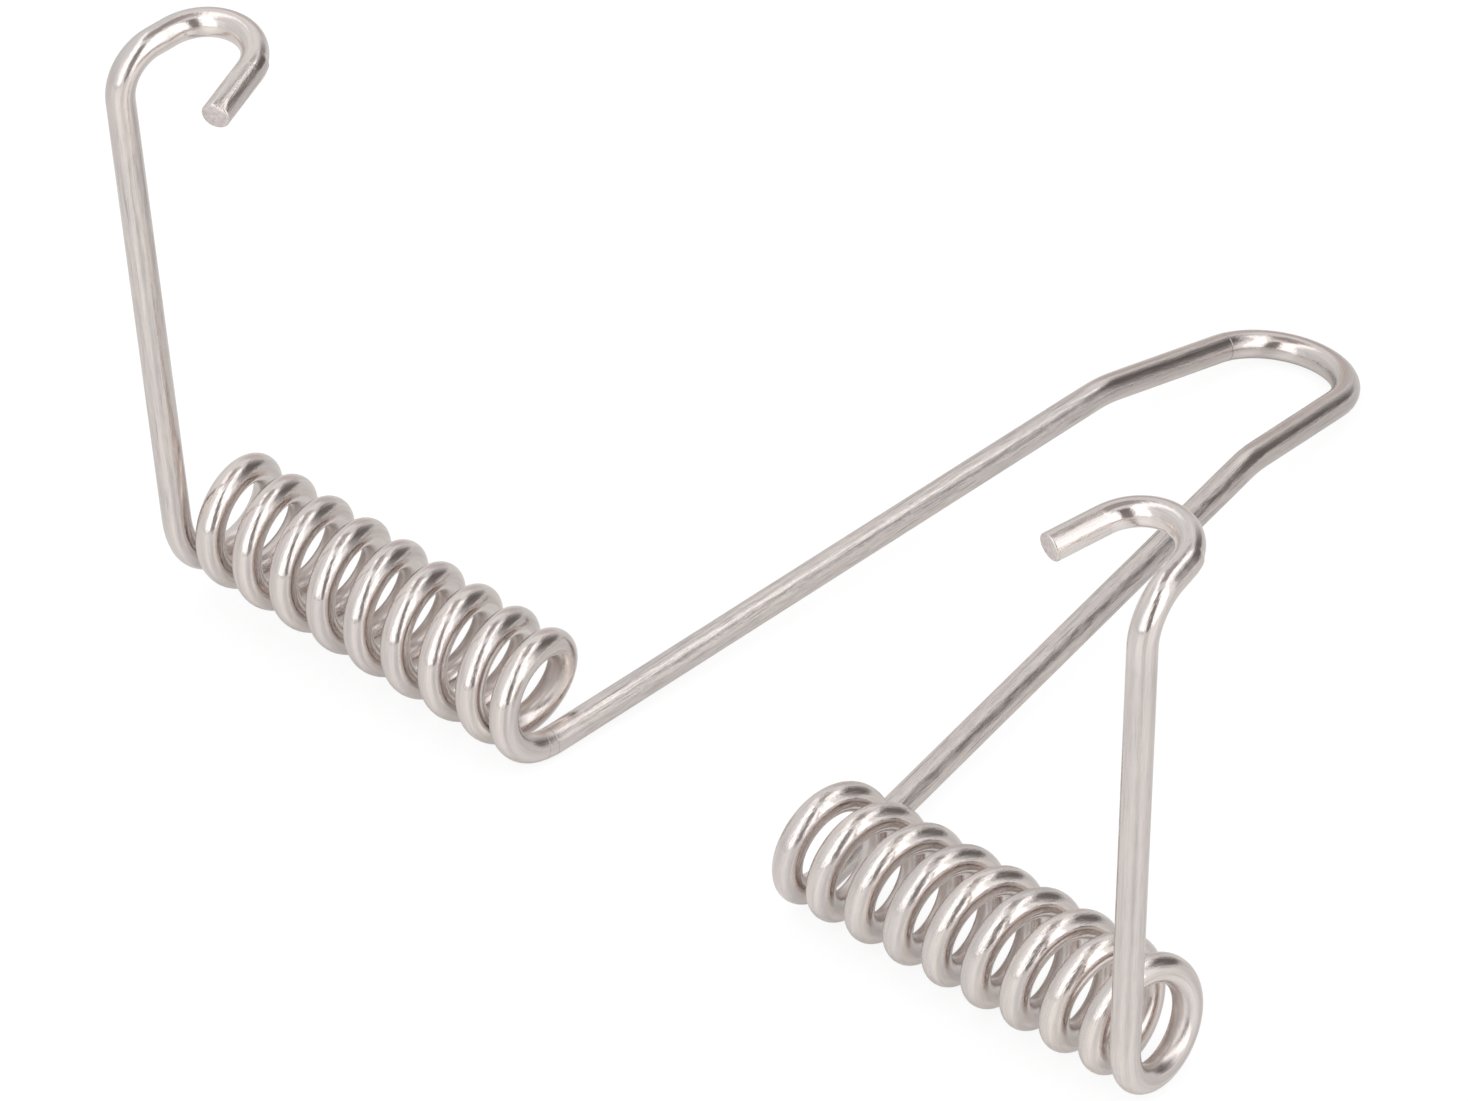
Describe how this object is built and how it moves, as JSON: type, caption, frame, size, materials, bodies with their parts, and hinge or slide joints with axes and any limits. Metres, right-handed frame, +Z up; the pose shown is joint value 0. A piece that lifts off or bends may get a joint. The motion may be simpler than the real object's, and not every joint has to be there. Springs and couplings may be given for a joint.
{
  "type": "luggage carrier spring",
  "caption": "Clamp spring bent from one round steel wire: close coils side by side on a rod, a long bail between them, and an upright arm with a hook at each outer end.",
  "frame": {"origin": "on the rod that both coils turn about, half way between the coils", "axes": "+X along the rod from the left coil to the right, +Y back along the bail, +Z up, with the arms standing and the bail lying"},
  "size_m": [0.1798, 0.157, 0.0932],
  "materials": {
    "spring_steel": "bright drawn wire, satin along the straights and smoother on the bends"
  },
  "bodies": {
    "root": {"spring_wire": "spring_steel"}
  },
  "joints": []
}
